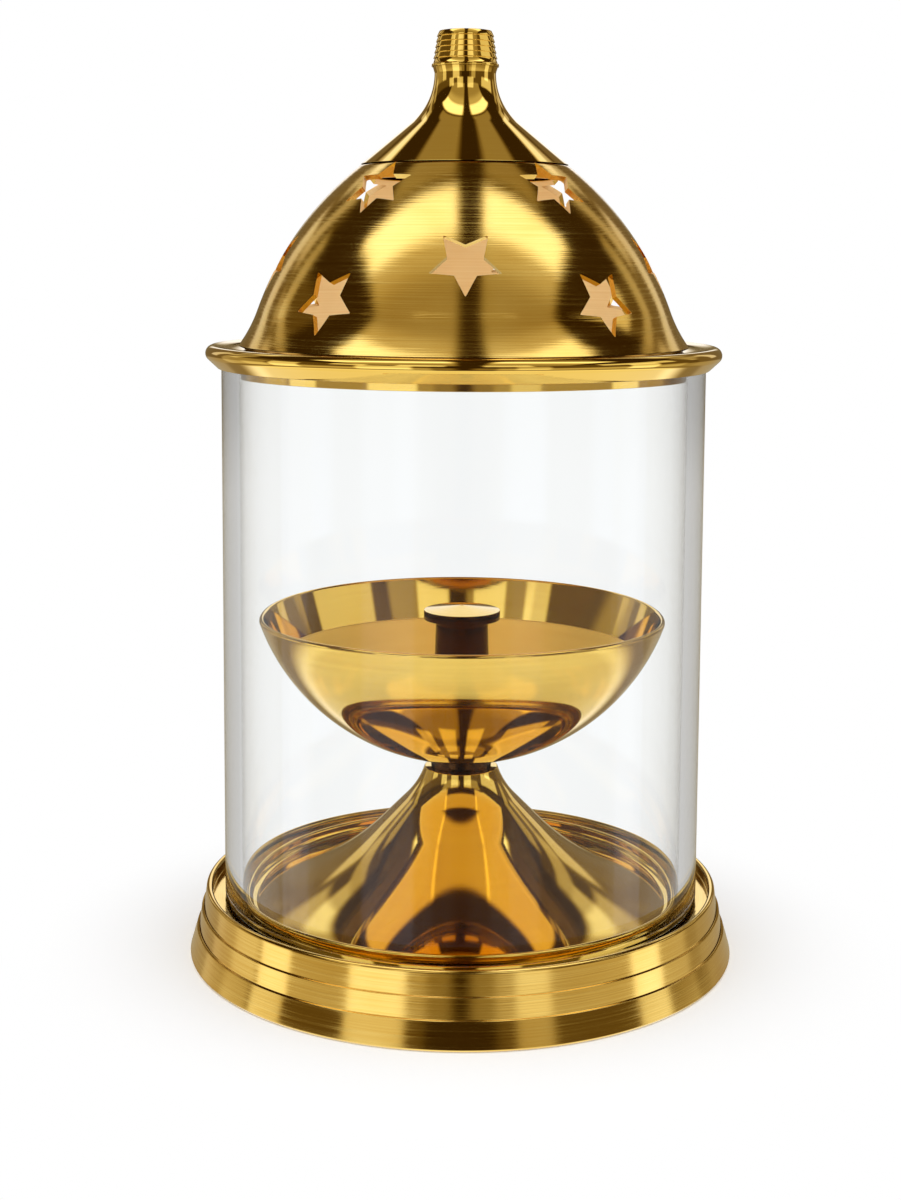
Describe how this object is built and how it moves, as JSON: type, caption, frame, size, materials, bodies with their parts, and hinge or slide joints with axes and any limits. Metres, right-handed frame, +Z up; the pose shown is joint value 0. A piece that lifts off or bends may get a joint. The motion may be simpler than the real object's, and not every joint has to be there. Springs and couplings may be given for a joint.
{
  "type": "oil lamp",
  "caption": "Brass ritual oil lamp: a stepped base and trumpet pedestal carry an oil bowl with a wick holder, inside a clear glass chimney under a star-pierced domed lid with a knob.",
  "frame": {"origin": "centre of the base's underside, on the lamp's axis", "axes": "+Z up along the lamp's axis, -Y towards the viewer of the picture, +X to the viewer's right"},
  "size_m": [0.0958, 0.0958, 0.16],
  "materials": {
    "polished_brass": "polished",
    "satin_brass": "satin, turned",
    "clear_glass": "clear",
    "plain_steel": "plain"
  },
  "bodies": {
    "base": {"base_ring": "satin_brass", "pedestal": "polished_brass", "stem_bush": "polished_brass", "tie_rod": "plain_steel", "clamp_plate": "plain_steel", "clamp_washer": "plain_steel", "clamp_nut": "plain_steel"},
    "foot": {"bowl_foot": "polished_brass"},
    "oil_bowl": {"bowl": "polished_brass", "bowl_stud": "polished_brass"},
    "wick": {"wick_holder": "polished_brass"},
    "chimney": {"glass_chimney": "clear_glass"},
    "lid": {"lid_ring": "polished_brass", "lid_dome": "satin_brass", "lid_spire": "polished_brass", "lid_knob": "polished_brass", "knob_screw": "plain_steel", "knob_washer": "plain_steel"}
  },
  "joints": [
    {"name": "bowl_rise", "type": "slide", "parent": "base", "child": "foot", "axis": [0, 0, 1], "range_m": [0, 0.005]},
    {"name": "bowl_unscrew", "type": "hinge", "parent": "foot", "child": "oil_bowl", "pos_m": [0, 0, 0.0324], "axis": [0, 0, 1], "range_deg": [0, 1800]},
    {"name": "wick_lift", "type": "slide", "parent": "oil_bowl", "child": "wick", "axis": [0, 0, 1], "range_m": [0, 0.025]},
    {"name": "chimney_lift", "type": "slide", "parent": "base", "child": "chimney", "axis": [0, 0, 1], "range_m": [0, 0.06]},
    {"name": "lid_lift", "type": "slide", "parent": "chimney", "child": "lid", "axis": [0, 0, 1], "range_m": [0, 0.03]}
  ],
  "couplings": [
    {"joint": "bowl_rise", "follows": "bowl_unscrew", "m_per_rad": 0.00015915}
  ]
}
